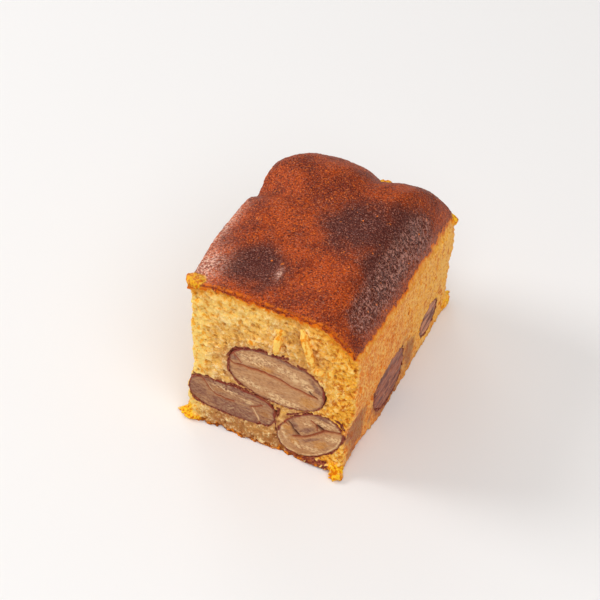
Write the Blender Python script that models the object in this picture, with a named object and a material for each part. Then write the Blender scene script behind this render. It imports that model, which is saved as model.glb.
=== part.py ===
"""A slice of chestnut cake, cut from the corner of a baked loaf.

The front (-Y) and left (-X) sides are knife cuts, and the right (+X) and back (+Y) sides were
baked against the tin, so the crust rolls down over them. Whole chestnuts lie low in the crumb and
are cut open where a side passes through them.

Sizes are in millimetres. Meshes are written in metres, +Z up, with the origin on the table under
the middle of the slice. `depth` is the distance behind the front cut face.
"""
import math

import bmesh
import bpy
from mathutils import Euler, Vector, noise

MM = 0.001

# The slice
WIDTH = 50.0
LENGTH = 76.0
HEIGHT = 56.5
FRONT = -LENGTH / 2
CELLS_ACROSS = 24
CELLS_ALONG = 36
CELLS_UP = 10

# The crust's shoulders: how far it falls at each side, and where the fall starts
RIGHT_FALL_AT_FRONT = 9.5
RIGHT_FALL_AT_BACK = 18.5
RIGHT_SHOULDER_START = 11.5
BACK_FALL = 14.5
BACK_SHOULDER_START = 53.0
SHOULDER_BLEND = 2.5
LEFT_FALL_AT_FRONT = 2.8
LEFT_FALL_AT_BACK = 0.8
LEFT_SHOULDER_START = -15.0
BACK_LEFT_FALL = 11.0
BACK_LEFT_X = -8.0
BACK_LEFT_DEPTH = 54.0

# The sides lean and bulge a little
LEFT_NEAR_UNTIL = 12.0
LEFT_NEAR_GONE = 30.0
LEFT_INSET = 1.7
LEFT_INSET_FROM = 14.0
LEFT_INSET_TO = 22.0
LEFT_LEAN = 1.0
LEFT_BELLY = 2.0
LEFT_BELLY_DEPTH = 21.0
LEFT_BELLY_LENGTH = 20.0
LEFT_HIP = 2.4
LEFT_HIP_DEPTH = 57.0
LEFT_HIP_LENGTH = 9.0
LEFT_BELLY_FROM = 20.0
LEFT_BELLY_TO = 50.0
RIGHT_NEAR_UNTIL = 10.0
RIGHT_NEAR_GONE = 26.0
RIGHT_FOOT_INSET = 0.7
RIGHT_UNDERCUT = 1.0
RIGHT_UNDERCUT_HEIGHT = 5.0
RIGHT_BULGE = 2.6
RIGHT_BULGE_FROM = 15.0
RIGHT_BULGE_TO = 27.0
RIGHT_BULGE_LOSS = 0.7
FRONT_CORNER_RADIUS = 1.2
BACK_RIGHT_RADIUS = 3.0
BACK_LEFT_RADIUS = 6.0
CRUMB_RELIEF = 0.35
CRUMB_GRAIN = 5.0

# Lobes of the crust as (x, depth, radius, rise): the batter rose in domes between the creases
LOBES = (
    (-12.0, 60.0, 17.5, 1.6),
    (13.0, 62.0, 12.5, 0.4),
)
LOBE_CROWN = 0.35
LOBE_FOOT = 1.05
# Sunk and over-browned hollows as (x, depth, radius, fall)
HOLLOWS = (
    (-9.5, 15.0, 6.5, 0.9),
    (11.0, 43.0, 9.0, 0.5),
)
# The crease between the lobes opens into a notch at the left side and at the back
LEFT_NOTCH_DEPTH = 44.5
LEFT_NOTCH_FALL = 4.2
LEFT_NOTCH_WIDTH = 4.2
LEFT_NOTCH_REACH = 8.0
BACK_NOTCH_X = 4.0
BACK_NOTCH_FALL = 5.0
BACK_NOTCH_WIDTH = 3.4
BACK_NOTCH_REACH = 11.0

# Chestnuts
GAP = 0.3
NUT_SEGMENTS = 22
NUT_RINGS = 12
NUT_WRINKLE = 0.25
NUT_WRINKLE_SIZE = 3.5
# name: centre (x, depth, z), half sizes (along, into the cake, across), turn in degrees about the
# face's normal, squareness of the outline, the face the section lies in, faces that cut it
CHESTNUTS = {
    "chestnut_top": ((2.6, 0.0, 28.6), (14.8, 12.5, 9.4), -3.5, 2.4, "front", ("front",)),
    "chestnut_left": ((-11.0, 0.5, 13.5), (13.6, 11.0, 6.2), -1.5, 3.1, "front", ("front", "left")),
    "chestnut_corner": ((13.5, 1.5, 10.9), (11.7, 12.0, 7.6), 44.0, 2.2, "front", ("front",)),
    "chestnut_side": ((24.6, 30.0, 11.2), (10.6, 9.0, 9.2), -20.0, 2.3, "side", ("right",)),
    "chestnut_back": ((24.2, 60.0, 8.6), (6.6, 7.0, 5.2), 8.0, 2.2, "side", ("right",)),
    "chestnut_far_left": ((-23.4, 50.0, 15.0), (12.5, 10.0, 8.2), 12.0, 2.4, "side", ("left",)),
    "chestnut_far_back": ((-6.0, 75.5, 17.0), (11.0, 9.0, 7.6), -10.0, 2.4, "front", ("back",)),
}

# Crumbs and flakes as (x, depth, z), half sizes and turns in degrees
SCRAPS = {
    "crust_lip": ((-22.9, 1.2, 55.0), (2.6, 2.4, 1.7), (0, 12, 0)),
    "foot_left": ((-24.02, 0.5, 1.3), (2.9, 2.0, 1.4), (0, -8, 12)),
    "foot_right": ((22.3, -0.85, 1.5), (2.4, 2.4, 1.7), (0, 8, 0)),
    "foot_back": ((24.0, 75.6, 2.4), (1.9, 3.5, 2.2), (0, 0, -10)),
    "peel_low": ((15.0, 0.2, 1.0), (7.0, 1.6, 1.1), (0, 0, 0)),
    "notch_crumb": ((3.6, 72.0, 43.8), (2.0, 1.8, 1.4), (0, 0, 20)),
    "side_crumb": ((24.2, 74.4, 36.4), (1.7, 1.6, 1.9), (0, 0, 0)),
    "strand_long": ((12.2, -0.1, 45.4), (1.8, 1.3, 6.4), (0, -9, 0)),
    "strand_short": ((2.6, 0.0, 42.8), (1.5, 1.2, 3.6), (0, -4, 0)),
    "flake_low": ((15.2, 0.1, 37.7), (1.3, 1.2, 1.3), (0, 20, 0)),
    "flake_left": ((-5.2, 0.1, 40.4), (1.2, 1.1, 1.1), (0, 0, 0)),
}
SCRAP_SEGMENTS = 9
SCRAP_RINGS = 6
SCRAP_RAGGEDNESS = 0.4
SCRAP_RAGGED_SIZE = 0.7
FLOOR_CLEARANCE = 0.15

# Material colours as linear red, green, blue, with roughness
CAKE_LOOK = ((0.55, 0.26, 0.055), 0.85)
CHESTNUT_LOOK = ((0.30, 0.14, 0.075), 0.55)


def ramp(value, start, end):
    """0 before start, 1 after end, straight between."""
    return min(1.0, max(0.0, (value - start) / (end - start)))


def smooth(value, start, end):
    """0 before start, 1 after end, with eased ends."""
    t = ramp(value, start, end)
    return t * t * (3.0 - 2.0 * t)


def bell(distance, width):
    return math.exp(-(distance / width) ** 2)


def crust_height(x, depth):
    """Height of the crust above the table."""
    along = depth / LENGTH
    right = RIGHT_FALL_AT_FRONT + (RIGHT_FALL_AT_BACK - RIGHT_FALL_AT_FRONT) * along
    right *= ramp(x, RIGHT_SHOULDER_START, WIDTH / 2) ** 2
    back = BACK_FALL * ramp(depth, BACK_SHOULDER_START, LENGTH) ** 2
    left = LEFT_FALL_AT_FRONT + (LEFT_FALL_AT_BACK - LEFT_FALL_AT_FRONT) * along
    left *= ramp(x, LEFT_SHOULDER_START, -WIDTH / 2) ** 2
    fall = (right ** SHOULDER_BLEND + back ** SHOULDER_BLEND) ** (1 / SHOULDER_BLEND) + left
    fall += (BACK_LEFT_FALL * ramp(x, BACK_LEFT_X, -WIDTH / 2) ** 2
             * ramp(depth, BACK_LEFT_DEPTH, LENGTH) ** 2)
    for lobe_x, lobe_depth, radius, rise in LOBES:
        distance = math.hypot(x - lobe_x, depth - lobe_depth)
        fall -= rise * (1.0 - smooth(distance, LOBE_CROWN * radius, LOBE_FOOT * radius))
    for hollow_x, hollow_depth, radius, drop in HOLLOWS:
        fall += drop * bell(math.hypot(x - hollow_x, depth - hollow_depth), radius)
    fall += (LEFT_NOTCH_FALL * bell(depth - LEFT_NOTCH_DEPTH, LEFT_NOTCH_WIDTH)
             * bell(x + WIDTH / 2, LEFT_NOTCH_REACH))
    fall += (BACK_NOTCH_FALL * bell(x - BACK_NOTCH_X, BACK_NOTCH_WIDTH)
             * bell(depth - LENGTH, BACK_NOTCH_REACH))
    return HEIGHT - fall


def left_side(z, depth):
    """The left cut steps in over its chestnut at the front, and bellies out under the crust."""
    near = 1.0 - smooth(depth, LEFT_NEAR_UNTIL, LEFT_NEAR_GONE)
    inset = LEFT_INSET * smooth(z, LEFT_INSET_FROM, LEFT_INSET_TO) * near
    lean = LEFT_LEAN * (z / HEIGHT) * (1.0 - near)
    belly = (LEFT_BELLY * bell(depth - LEFT_BELLY_DEPTH, LEFT_BELLY_LENGTH)
             + LEFT_HIP * bell(depth - LEFT_HIP_DEPTH, LEFT_HIP_LENGTH))
    return -WIDTH / 2 + inset + lean - belly * smooth(z, LEFT_BELLY_FROM, LEFT_BELLY_TO)


def right_side(z, depth):
    """The right side leans out, and is drawn in at the foot near the front."""
    near = 1.0 - smooth(depth, RIGHT_NEAR_UNTIL, RIGHT_NEAR_GONE)
    foot = near * (RIGHT_FOOT_INSET + RIGHT_UNDERCUT * (1.0 - smooth(z, 0.0, RIGHT_UNDERCUT_HEIGHT)))
    bulge = RIGHT_BULGE * smooth(z, RIGHT_BULGE_FROM, RIGHT_BULGE_TO)
    return WIDTH / 2 - foot + bulge * (1.0 - RIGHT_BULGE_LOSS * depth / LENGTH)


def round_corner(x, y, half_width, half_length, radius):
    """Moves a point of a rectangle's corner square onto the quarter disc inside it."""
    over_x = abs(x) - (half_width - radius)
    over_y = abs(y) - (half_length - radius)
    if over_x <= 0.0 or over_y <= 0.0:
        return x, y
    shrink = max(over_x, over_y) / math.hypot(over_x, over_y)
    return (math.copysign(half_width - radius + over_x * shrink, x),
            math.copysign(half_length - radius + over_y * shrink, y))


def slice_point(u, v, w):
    """Place in the slice of the unit cube's point (u, v, w), each from 0 to 1."""
    x_flat, y = WIDTH * (u - 0.5), LENGTH * (v - 0.5)
    back_radius = BACK_LEFT_RADIUS if u < 0.5 else BACK_RIGHT_RADIUS
    radius = FRONT_CORNER_RADIUS if v < 0.5 else back_radius
    x_flat, y = round_corner(x_flat, y, WIDTH / 2, LENGTH / 2, radius)
    depth = y - FRONT
    z = w * crust_height(x_flat, depth)
    across = x_flat / WIDTH + 0.5
    x = left_side(z, depth) * (1.0 - across) + right_side(z, depth) * across
    if 0.0 < w < 1.0:
        rough = CRUMB_RELIEF * noise.noise(Vector((x, y, z)) / CRUMB_GRAIN)
        x += rough * ((u == 1.0) - (u == 0.0))
        y += rough * ((v == 1.0) - (v == 0.0))
    return Vector((x, y, z))


def new_object(name, mesh, collection):
    thing = bpy.data.objects.new(name, mesh)
    collection.objects.link(thing)
    return thing


def mesh_from(shape, name):
    """Turns a bmesh in millimetres into a mesh in metres."""
    bmesh.ops.scale(shape, vec=(MM, MM, MM), verts=shape.verts)
    bmesh.ops.recalc_face_normals(shape, faces=shape.faces)
    mesh = bpy.data.meshes.new(name)
    shape.to_mesh(mesh)
    shape.free()
    return mesh


def make_block(collection):
    """The crumb with its crust, before the chestnuts are let in."""
    shape = bmesh.new()
    bmesh.ops.create_cube(shape, size=1.0)
    bmesh.ops.translate(shape, vec=(0.5, 0.5, 0.5), verts=shape.verts)
    for axis, cells in enumerate((CELLS_ACROSS, CELLS_ALONG, CELLS_UP)):
        edges = [e for e in shape.edges if abs(e.verts[0].co[axis] - e.verts[1].co[axis]) > 0.5]
        bmesh.ops.subdivide_edges(shape, edges=edges, cuts=cells - 1, use_grid_fill=True)
    base = [f for f in shape.faces if f.calc_center_median().z < 1e-6]
    bmesh.ops.dissolve_faces(shape, faces=base, use_verts=True)
    for vert in shape.verts:
        u, v, w = (round(c, 6) for c in vert.co)
        vert.co = slice_point(u, v, w)
    return new_object("cake", mesh_from(shape, "cake"), collection)


def ball(segments, rings, half_sizes):
    shape = bmesh.new()
    bmesh.ops.create_uvsphere(shape, u_segments=segments, v_segments=rings, radius=1.0)
    bmesh.ops.scale(shape, vec=half_sizes, verts=shape.verts)
    return shape


def cut_away(shape, point, outward):
    """Removes what lies outward of a plane and closes the cut."""
    geometry = shape.verts[:] + shape.edges[:] + shape.faces[:]
    cut = bmesh.ops.bisect_plane(
        shape, geom=geometry, plane_co=point, plane_no=outward, clear_outer=True)
    rim = [e for e in cut["geom_cut"] if isinstance(e, bmesh.types.BMEdge)]
    if rim:
        bmesh.ops.contextual_create(shape, geom=rim)


def make_scraps(collection):
    for name, (centre, half_sizes, turns) in SCRAPS.items():
        shape = ball(SCRAP_SEGMENTS, SCRAP_RINGS, half_sizes)
        for vert in shape.verts:
            ragged = noise.noise((vert.co + Vector(centre)) / (SCRAP_RAGGED_SIZE * max(half_sizes)))
            vert.co *= 1.0 + SCRAP_RAGGEDNESS * ragged
        bmesh.ops.rotate(shape, matrix=Euler([math.radians(t) for t in turns]).to_matrix(),
                         verts=shape.verts)
        x, depth, z = centre
        bmesh.ops.translate(shape, vec=(x, FRONT + depth, z), verts=shape.verts)
        cut_away(shape, (0.0, 0.0, FLOOR_CLEARANCE), (0.0, 0.0, -1.0))
        new_object(name, mesh_from(shape, name), collection)


def apply_boolean(target, collection, operation):
    """Joins or cuts the target by every object of a collection, for good."""
    modifier = target.modifiers.new(operation.lower(), "BOOLEAN")
    modifier.operation = operation
    modifier.operand_type = "COLLECTION"
    modifier.collection = collection
    bpy.context.view_layer.update()
    evaluated = target.evaluated_get(bpy.context.evaluated_depsgraph_get())
    mesh = bpy.data.meshes.new_from_object(evaluated)
    target.modifiers.clear()
    old = target.data
    target.data = mesh
    bpy.data.meshes.remove(old)
    mesh.name = target.name
    for thing in list(collection.objects):
        bpy.data.objects.remove(thing)


def chestnut_shape(centre, half_sizes, turn, squareness, section, grow):
    """A wrinkled chestnut. Grown, it is the room that the crumb leaves for it."""
    along, into, across = half_sizes
    shape = ball(NUT_SEGMENTS, NUT_RINGS, (1.0, 1.0, 1.0))
    for vert in shape.verts:
        x, y, z = vert.co
        ring = math.hypot(x, z)
        if ring > 1e-6:
            stretch = ring / (abs(x) ** squareness + abs(z) ** squareness) ** (1 / squareness)
            x, z = x * stretch, z * stretch
        vert.co = (x * along, y * into, z * across)
    shape.normal_update()
    for vert in shape.verts:
        wrinkle = NUT_WRINKLE * noise.noise((vert.co + Vector(centre)) / NUT_WRINKLE_SIZE)
        vert.co += vert.normal * (wrinkle + grow)
    bmesh.ops.rotate(shape, matrix=Euler((0.0, -math.radians(turn), 0.0)).to_matrix(),
                     verts=shape.verts)
    if section == "side":
        bmesh.ops.rotate(shape, matrix=Euler((0.0, 0.0, math.pi / 2)).to_matrix(),
                         verts=shape.verts)
    x, depth, z = centre
    bmesh.ops.translate(shape, vec=(x, FRONT + depth, z), verts=shape.verts)
    return shape


def cut_planes(centre):
    """The slice's sides as planes, as far out as they stand beside a chestnut."""
    _, depth, z = centre
    return {
        "front": ((0.0, FRONT, 0.0), (0.0, -1.0, 0.0)),
        "back": ((0.0, -FRONT, 0.0), (0.0, 1.0, 0.0)),
        "left": ((left_side(z, depth), 0.0, 0.0), (-1.0, 0.0, 0.0)),
        "right": ((right_side(z, depth), 0.0, 0.0), (1.0, 0.0, 0.0)),
    }


def make_chestnuts(collection, rooms):
    nuts = []
    for name, (centre, half_sizes, turn, squareness, section, cuts) in CHESTNUTS.items():
        nut = chestnut_shape(centre, half_sizes, turn, squareness, section, 0.0)
        planes = cut_planes(centre)
        for side in cuts:
            cut_away(nut, *planes[side])
        nuts.append(new_object(name, mesh_from(nut, name), collection))
        room = chestnut_shape(centre, half_sizes, turn, squareness, section, GAP)
        new_object("room_" + name, mesh_from(room, "room_" + name), rooms)
    return nuts


def material(name, look):
    colour, roughness = look
    finish = bpy.data.materials.new(name)
    finish.use_nodes = True
    shader = finish.node_tree.nodes["Principled BSDF"]
    shader.inputs["Base Color"].default_value = (*colour, 1.0)
    shader.inputs["Roughness"].default_value = roughness
    shader.inputs["Metallic"].default_value = 0.0
    return finish


def shade_soft(thing, angle=40.0):
    thing.data.shade_smooth()
    thing.data.set_sharp_from_angle(angle=math.radians(angle))


def new_collection(name):
    collection = bpy.data.collections.new(name)
    bpy.context.scene.collection.children.link(collection)
    return collection


def main():
    for thing in list(bpy.data.objects):
        bpy.data.objects.remove(thing)
    parts = new_collection("chestnut_cake")
    helpers = new_collection("cutters")

    cake = make_block(parts)
    make_scraps(helpers)
    apply_boolean(cake, helpers, "UNION")
    nuts = make_chestnuts(parts, helpers)
    apply_boolean(cake, helpers, "DIFFERENCE")
    bpy.data.collections.remove(helpers)

    cake.data.materials.clear()
    cake.data.materials.append(material("cake", CAKE_LOOK))
    shade_soft(cake)
    for nut in nuts:
        nut.data.materials.append(material(nut.name, CHESTNUT_LOOK))
        shade_soft(nut)


main()
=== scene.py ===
"""Looks of a slice of chestnut cake: crust, torn crumb, cut chestnuts, light and camera.

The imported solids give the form. Each surface is made again from the same sizes, as a field of
distances in mm that seeded noise roughens and that is then meshed. `depth` is how far a point lies
behind the front cut face.
"""
import math

import bpy
import numpy as np
import openvdb
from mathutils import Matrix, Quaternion, Vector


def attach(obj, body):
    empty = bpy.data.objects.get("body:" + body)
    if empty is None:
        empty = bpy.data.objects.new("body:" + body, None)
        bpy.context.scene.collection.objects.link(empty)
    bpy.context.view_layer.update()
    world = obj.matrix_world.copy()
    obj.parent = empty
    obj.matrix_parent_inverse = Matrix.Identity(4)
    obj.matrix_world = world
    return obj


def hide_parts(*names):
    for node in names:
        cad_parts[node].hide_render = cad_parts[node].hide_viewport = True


MM = 0.001

# Cells of the meshes, finest in front and coarser where nothing shows
FRONT_CELL = 0.22
CAKE_CELL = 0.3
CAKE_FAR_CELL = 0.42
NUT_CELL = 0.25
FAR_NUT_CELL = 0.36
# How deep each side's piece goes, where it goes deeper, and how far sides overlap
SKIN_DEPTH = 3.5
ROUNDED_SKIN_DEPTH = 7.0
ROUNDED_FROM = 60.0
SEAM_OVERLAP = 0.2
# The box that is meshed: around the slice, below the table, up to, and around a chestnut
MARGIN = 6.0
BELOW_TABLE = 1.0
CEILING = 60.0
NUT_MARGIN = 1.5
# Fields are worked out in blocks of cells, in batches, within reach of the plain form
BLOCK = 4
BATCH = 20000
CAKE_REACH = 1.6
NUT_REACH = 1.0
# A distance past all others, the cells along the noise's cube, and how crumb is bent
FAR = 1e3
LATTICE = 32
BEND = np.array((0.7, 0.3, -0.6), np.float32)

# The slice, as in the solids. Pairs of depths and heights are where something starts and ends, and
# a pair of falls is how far the crust drops in front and at the back
WIDTH = 50.0
LENGTH = 76.0
HEIGHT = 56.5
FRONT = -LENGTH / 2
RIGHT_FALL = (9.5, 18.5)
RIGHT_SHOULDER_START = 11.5
BACK_FALL = 14.5
BACK_SHOULDER_START = 53.0
SHOULDER_BLEND = 2.5
LEFT_FALL = (2.8, 0.8)
LEFT_SHOULDER_START = -15.0
BACK_LEFT_FALL = 11.0
BACK_LEFT_X = -8.0
BACK_LEFT_DEPTH = 54.0
LEFT_NEAR_DEPTHS = (12.0, 30.0)
LEFT_INSET = 1.7
LEFT_INSET_HEIGHTS = (14.0, 22.0)
LEFT_FLARE = 0.9
LEFT_FLARE_HEIGHTS = (47.0, 54.0)
LEFT_LEAN = 1.0
LEFT_BELLIES = ((2.0, 21.0, 20.0), (2.4, 57.0, 9.0))
LEFT_BELLY_HEIGHTS = (20.0, 50.0)
RIGHT_NEAR_DEPTHS = (10.0, 26.0)
RIGHT_FOOT_INSET = 0.7
RIGHT_UNDERCUT = 1.0
RIGHT_UNDERCUT_HEIGHT = 5.0
RIGHT_BULGE = 2.6
RIGHT_BULGE_HEIGHTS = (15.0, 27.0)
RIGHT_BULGE_LOSS = 0.7
FRONT_CORNER_RADIUS = 1.2
BACK_RIGHT_RADIUS = 3.0
BACK_LEFT_RADIUS = 6.0
LOBES = ((-12.0, 60.0, 17.5, 2.0), (13.0, 62.0, 12.5, 0.4))
LOBE_CROWN = 0.35
LOBE_FOOT = 1.05
HOLLOWS = ((-9.5, 15.0, 6.5, 0.9), (11.0, 43.0, 9.0, 0.5))
LEFT_NOTCH_DEPTH = 44.5
LEFT_NOTCH = (4.2, 4.2, 8.0)
BACK_NOTCH_X = 4.0
BACK_NOTCH = (5.0, 3.4, 11.0)
# How far edges of the crust are rounded: sharp at the cuts, rolled over at the back
EDGE_ROUND = 0.5
BACK_ROUND = 2.0
BACK_ROUND_DEPTHS = (44.0, 64.0)
BACK_LEFT_ROUND = 11.0
BACK_LEFT_ROUND_WIDTHS = (4.0, 22.0)
# The rough band along the right shoulder, which starts and ends softly
BAND_X = 20.2
BAND_SHIFT = 1.0
BAND_SHIFT_DEPTHS = (34.0, 58.0)
BAND_WIDTH = 3.6
BAND_START_DEPTHS = (1.0, 11.0)
BAND_END_DEPTHS = (52.0, 66.0)
# The step at the right edge of the front hollow
STEP_X = -4.6
STEP_LEAN = 0.15
STEP_MIDDLE = 15.0
STEP_DEPTH = 15.5
STEP_LENGTH = 4.0
STEP_SLOPE = 1.8
STEP_EDGE = 0.35
# Painted sheen and over-browned patches of the crust as (x, depth, half width, half length)
PAINTED_SHEEN_PATCHES = ((-22.6, 7.5, 4.6, 8.0), (-25.4, 24.0, 2.6, 13.0), (-3.4, 12.6, 0.7, 2.2))
BURNS = ((-9.4, 13.0, 9.6, 11.4), (10.0, 39.5, 14.0, 13.6), (17.5, 30.0, 7.0, 14.0),
         (18.0, 49.0, 7.5, 8.0))
# Chestnuts, as in the solids: centre (x, depth, z), half sizes (along, into, across), turn in
# degrees, squareness, the face the section lies in, and the faces that cut it
CHESTNUTS = {
    "chestnut_top": ((2.6, 0.0, 28.6), (14.8, 12.5, 9.4), -3.5, 2.4, "front", ("front",)),
    "chestnut_left": ((-11.0, 0.5, 13.5), (13.6, 11.0, 6.2), -1.5, 3.1, "front", ("front", "left")),
    "chestnut_corner": ((13.5, 1.5, 10.9), (11.7, 12.0, 7.6), 44.0, 2.2, "front", ("front",)),
    "chestnut_side": ((24.6, 30.0, 11.2), (10.6, 9.0, 9.2), -20.0, 2.3, "side", ("right",)),
    "chestnut_back": ((24.2, 60.0, 8.6), (6.6, 7.0, 5.2), 8.0, 2.2, "side", ("right",)),
    "chestnut_far_left": ((-23.4, 50.0, 15.0), (12.5, 10.0, 8.2), 12.0, 2.4, "side", ("left",)),
    "chestnut_far_back": ((-6.0, 75.5, 17.0), (11.0, 9.0, 7.6), -10.0, 2.4, "front", ("back",)),
}
SHOWN_CHESTNUTS = ("chestnut_top", "chestnut_left", "chestnut_corner")
# How much dusk covers a whole cut face
DULL = {"chestnut_left": 0.4}
# How much wider than a chestnut its room is, and how far ragged crumb closes it
ROOM = -0.12
ROOM_MARGIN = 3.0
RAGGED_AT_CUT = 0.55
RAGGED_AT_SIDE = 1.1
BESIDE_REACH = 9.0
CAKE_SIDES = ("roof", "front", "right", "left", "back", "base")
# Folds and cracks in the cut faces: points along and up the face, depth, width and tone
FOLDS = {
    "chestnut_top": (
        (((-9.1, 29.5), (-5.4, 29.6), (-1.6, 30.0), (1.9, 29.6), (5.3, 28.6), (8.1, 28.1),
          (11.6, 27.7), (15.0, 27.1)), 0.45, 0.4, "fold"),
        (((-12.4, 31.2), (-11.4, 30.0), (-9.1, 29.4)), 0.3, 0.25, "fold"),
        (((12.9, 28.9), (14.0, 27.8), (15.0, 27.1)), 0.35, 0.25, "dark"),
        (((-10.6, 33.6), (-9.2, 32.4), (-8.2, 30.6)), 0.15, 0.25, "fold"),
    ),
    "chestnut_left": (
        (((-20.6, 18.6), (-19.3, 17.9), (-18.5, 16.4), (-17.4, 14.8), (-15.4, 13.6), (-12.8, 13.4),
          (-10.3, 13.6)), 0.35, 0.25, "fold"),
        (((-19.0, 17.6), (-18.0, 16.0), (-16.9, 14.6)), -0.15, 0.2, "pale"),
        (((-1.3, 16.4), (-3.2, 14.8), (-4.8, 14.2), (-3.8, 12.5), (-2.8, 10.4), (-2.1, 7.7)),
         0.35, 0.25, "fold"),
        (((-4.4, 13.6), (-3.3, 11.6), (-2.5, 9.2)), -0.15, 0.2, "pale"),
    ),
    "chestnut_corner": (
        (((8.5, 8.2), (11.3, 9.1), (13.6, 10.8), (15.9, 13.0), (17.7, 14.8), (20.2, 15.7),
          (22.9, 16.4)), 0.6, 0.35, "fold"),
        (((7.0, 13.8), (8.0, 12.4), (8.6, 11.2)), 0.4, 0.28, "dark"),
        (((9.0, 10.8), (9.9, 9.5)), 0.7, 0.5, "dark"),
        (((16.0, 16.0), (17.3, 15.3)), 0.7, 0.5, "dark"),
        (((17.6, 15.4), (19.0, 15.6)), 0.4, 0.25, "dark"),
        (((5.6, 13.2), (6.8, 12.2)), 0.3, 0.22, "fold"),
        (((13.9, 17.4), (15.4, 16.4), (15.9, 14.4)), 0.3, 0.25, "fold"),
        (((19.4, 19.6), (21.0, 18.8), (22.3, 17.4)), -0.2, 0.25, "pale"),
        (((3.9, 8.0), (4.0, 5.8), (5.1, 3.6), (7.6, 1.9), (11.2, 1.7), (15.2, 3.4), (18.9, 6.6),
          (21.8, 10.4), (22.9, 14.0)), -0.2, 0.22, "pale"),
        (((5.0, 10.4), (5.4, 8.2), (6.4, 6.6)), -0.2, 0.4, "pale"),
    ),
    "chestnut_far_left": (
        (((38.6, 12.8), (42.6, 14.2), (47.0, 14.0), (51.0, 15.2), (55.4, 16.0), (61.0, 17.6)),
         0.45, 0.45, "fold"),
        (((51.8, 15.4), (53.4, 13.6), (54.0, 11.6)), 0.35, 0.35, "fold"),
        (((43.0, 14.4), (44.2, 16.4), (46.2, 17.4)), 0.35, 0.35, "dark"),
    ),
}
# Torn skin and cracks in the crumb beside the chestnuts: (x, z) points, width and depth
PEELS = (
    (((-12.5, 30.6), (-11.6, 33.6), (-9.8, 36.0)), 0.3, 0.45),
    (((-8.4, 36.4), (-4.4, 37.6), (0.6, 38.4), (5.8, 38.6)), 0.5, 0.1),
    (((9.0, 37.6), (11.4, 36.7), (13.4, 35.0)), 0.45, 0.2),
    (((16.4, 32.0), (17.6, 28.8), (17.0, 25.6)), 0.4, 0.7),
    (((-23.8, 18.6), (-20.0, 20.0), (-14.0, 20.3), (-8.0, 20.0)), 0.35, 0.05),
    (((-8.0, 20.0), (-3.4, 19.6), (0.6, 18.4)), 0.35, 0.2),
    (((2.7, 18.0), (3.6, 16.6), (3.4, 14.2)), 0.42, 0.75),
    (((3.2, 13.8), (2.7, 10.8), (3.0, 7.6)), 0.25, 0.2),
    (((6.2, 15.8), (10.0, 18.6), (14.0, 20.6)), 0.25, 0.1),
    (((20.6, 20.9), (22.4, 20.0), (23.8, 17.8)), 0.35, 0.4),
)
# Patches of the cut faces as (along, up, half length, half width, turn)
# The light patches are partly paler flesh and partly painted highlights
TONES = {
    "chestnut_top": {
        "light": ((-5.4, 23.7, 5.6, 1.3, -18), (3.6, 21.4, 5.0, 1.9, -12), (8.7, 21.4, 1.8, 1.3, -60),
                  (11.9, 30.4, 3.6, 1.3, -54), (-4.0, 33.4, 6.0, 2.2, 6), (6.0, 33.0, 5.2, 1.9, -16)),
        "gold": ((-1.2, 31.4, 3.6, 1.3, 2), (12.4, 23.8, 3.2, 2.4, 0)),
        "dusk": ((-9.8, 32.4, 2.4, 1.2, 43), (-3.0, 37.4, 6.0, 0.5, 6), (7.0, 36.6, 6.0, 0.8, -12),
                 (14.8, 31.0, 4.0, 0.9, -58), (3.2, 30.9, 2.4, 0.4, -5)),
    },
    "chestnut_left": {
        "light": ((-13.1, 17.0, 4.2, 0.8, -7), (-6.0, 15.6, 2.4, 0.7, -4)),
        "gold": ((-0.6, 12.6, 2.4, 2.0, -4), (-15.4, 16.4, 3.0, 1.0, -8)),
        "dusk": ((-10.0, 9.8, 15.0, 5.6, -3), (-21.8, 13.0, 4.2, 5.4, 26), (-9.6, 19.0, 14.0, 2.8, -4)),
    },
    "chestnut_corner": {
        "light": ((18.0, 17.6, 3.2, 1.2, -5), (13.3, 5.4, 3.8, 1.2, 6), (20.1, 12.6, 2.4, 1.2, 11),
                  (9.6, 5.0, 2.4, 1.0, -20), (12.6, 15.4, 1.6, 1.0, 30)),
        "gold": ((6.2, 10.6, 2.2, 2.2, 0), (9.0, 6.0, 2.4, 1.4, -30), (17.0, 8.5, 3.2, 1.8, 30)),
        "dusk": ((8.6, 13.4, 2.6, 1.3, -60), (12.6, 12.6, 3.4, 1.1, 38), (13.6, 9.2, 4.0, 0.7, 38),
                 (17.0, 19.6, 3.4, 0.8, -14)),
    },
    "chestnut_far_left": {
        "light": ((47.0, 19.4, 5.0, 1.6, 12), (53.0, 11.4, 5.2, 1.7, 14), (57.0, 18.2, 2.6, 1.2, 30)),
        "gold": ((44.4, 11.2, 3.4, 1.8, 10),),
        "dusk": ((49.0, 22.4, 8.0, 0.8, 12), (49.0, 7.6, 8.0, 0.8, 12), (41.0, 16.0, 2.2, 3.0, 0)),
    },
}
# Gaps between chestnut and crumb as (x, depth, z), reach and width
GAPS = (
    ((17.2, 0.0, 28.6), 3.0, 0.5),
    ((-11.6, 0.0, 33.4), 2.4, 0.35),
    ((2.9, 0.0, 15.6), 1.8, 0.5),
    ((-24.5, 0.0, 10.5), 1.5, 0.4),
)
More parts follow.
